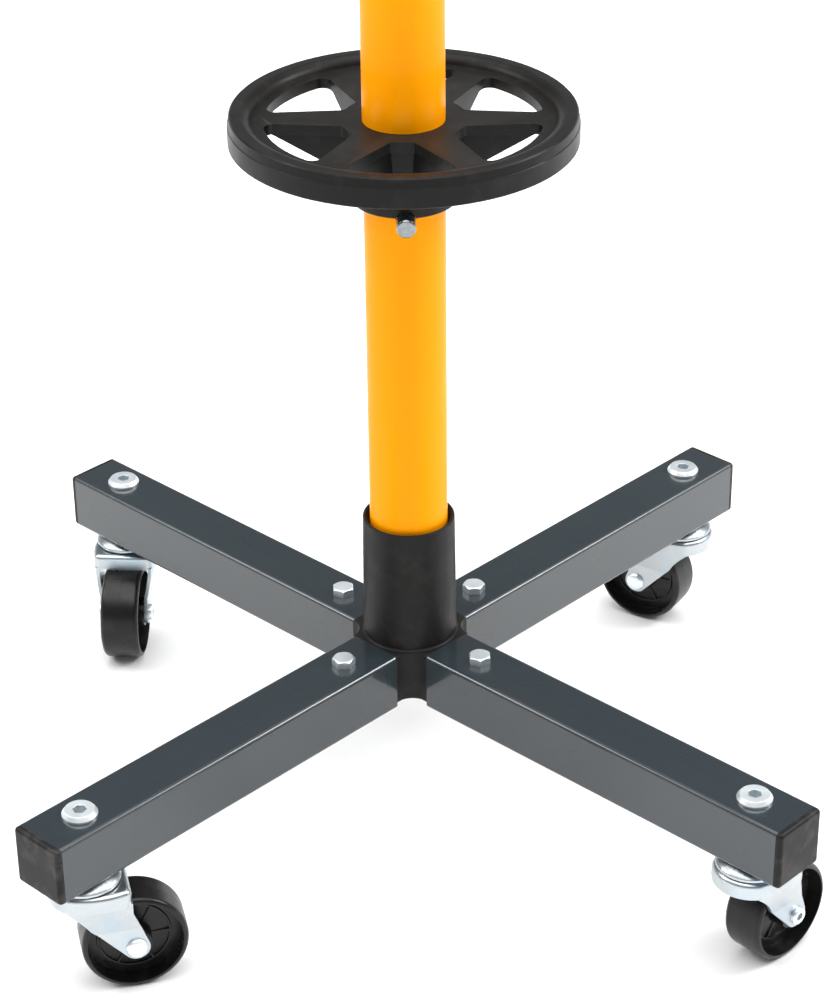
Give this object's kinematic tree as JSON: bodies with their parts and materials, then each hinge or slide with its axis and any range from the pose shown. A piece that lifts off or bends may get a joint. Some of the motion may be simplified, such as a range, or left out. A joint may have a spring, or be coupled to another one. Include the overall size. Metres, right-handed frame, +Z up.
{
  "type": "mobile pole stand",
  "caption": "Rolling floor stand: a cross of square-tube legs on swivel casters, a round column in a moulded hub, and a spoked support disc resting on a cross pin.",
  "frame": {"origin": "on the floor under the column's axis", "axes": "+Z up along the column; the legs lie along +X, +Y, -X and -Y, in the order of their numbers"},
  "size_m": [0.4854, 0.4854, 0.5181],
  "materials": {
    "leg_paint": "satin",
    "column_paint": "gloss",
    "hub_plastic": "fine grain",
    "disc_plastic": "satin",
    "cap_plastic": "satin",
    "wheel_plastic": "semi-gloss",
    "bush_plastic": "satin",
    "fork_zinc": "bright zinc plate",
    "zinc_fasteners": "zinc plate",
    "pin_steel": "turned",
    "ball_steel": "polished"
  },
  "bodies": {
    "stand": {"base_hub": "hub_plastic", "column": "column_paint", "column_plug": "cap_plastic", "leg_bolts": "zinc_fasteners", "leg_washers": "zinc_fasteners", "leg_nuts": "zinc_fasteners", "sleeve_nuts": "zinc_fasteners", "leg_1": "leg_paint", "leg_2": "leg_paint", "leg_3": "leg_paint", "leg_4": "leg_paint", "leg_end_cap_1": "cap_plastic", "leg_end_cap_2": "cap_plastic", "leg_end_cap_3": "cap_plastic", "leg_end_cap_4": "cap_plastic", "caster_1_stud": "zinc_fasteners", "caster_2_stud": "zinc_fasteners", "caster_3_stud": "zinc_fasteners", "caster_4_stud": "zinc_fasteners", "caster_1_cup": "fork_zinc", "caster_2_cup": "fork_zinc", "caster_3_cup": "fork_zinc", "caster_4_cup": "fork_zinc"},
    "disc": {"support_disc": "disc_plastic"},
    "pin": {"locking_pin": "pin_steel"},
    "swivel_1": {"caster_1_fork": "fork_zinc", "caster_1_axle": "zinc_fasteners", "caster_1_balls": "ball_steel"},
    "wheel_1": {"caster_1_wheel": "wheel_plastic", "caster_1_bush": "bush_plastic"},
    "swivel_2": {"caster_2_fork": "fork_zinc", "caster_2_axle": "zinc_fasteners", "caster_2_balls": "ball_steel"},
    "wheel_2": {"caster_2_wheel": "wheel_plastic", "caster_2_bush": "bush_plastic"},
    "swivel_3": {"caster_3_fork": "fork_zinc", "caster_3_axle": "zinc_fasteners", "caster_3_balls": "ball_steel"},
    "wheel_3": {"caster_3_wheel": "wheel_plastic", "caster_3_bush": "bush_plastic"},
    "swivel_4": {"caster_4_fork": "fork_zinc", "caster_4_axle": "zinc_fasteners", "caster_4_balls": "ball_steel"},
    "wheel_4": {"caster_4_wheel": "wheel_plastic", "caster_4_bush": "bush_plastic"}
  },
  "joints": [
    {"name": "disc_lift", "type": "slide", "parent": "stand", "child": "disc", "axis": [0, 0, 1], "range_m": [0, 0.185]},
    {"name": "pin_pull", "type": "slide", "parent": "stand", "child": "pin", "axis": [0.7071, -0.7071, 0], "range_m": [0, 0.07]},
    {"name": "caster_1_swivel", "type": "hinge", "parent": "stand", "child": "swivel_1", "pos_m": [0.216, 0, 0.06], "axis": [0, 0, 1], "continuous": true},
    {"name": "caster_1_spin", "type": "hinge", "parent": "swivel_1", "child": "wheel_1", "pos_m": [0.2167, 0.01999, 0.025], "axis": [-0.9994, 0.0349, 0], "continuous": true},
    {"name": "caster_2_swivel", "type": "hinge", "parent": "stand", "child": "swivel_2", "pos_m": [0, 0.216, 0.06], "axis": [0, 0, 1], "continuous": true},
    {"name": "caster_2_spin", "type": "hinge", "parent": "swivel_2", "child": "wheel_2", "pos_m": [-0.01956, 0.21184, 0.025], "axis": [0.2079, -0.9781, 0], "continuous": true},
    {"name": "caster_3_swivel", "type": "hinge", "parent": "stand", "child": "swivel_3", "pos_m": [-0.216, 0, 0.06], "axis": [0, 0, 1], "continuous": true},
    {"name": "caster_3_spin", "type": "hinge", "parent": "swivel_3", "child": "wheel_3", "pos_m": [-0.20314, -0.01532, 0.025], "axis": [0.766, 0.6428, 0], "continuous": true},
    {"name": "caster_4_swivel", "type": "hinge", "parent": "stand", "child": "swivel_4", "pos_m": [0, -0.216, 0.06], "axis": [0, 0, 1], "continuous": true},
    {"name": "caster_4_spin", "type": "hinge", "parent": "swivel_4", "child": "wheel_4", "pos_m": [0.01089, -0.19923, 0.025], "axis": [-0.8387, 0.5446, 0], "continuous": true}
  ]
}
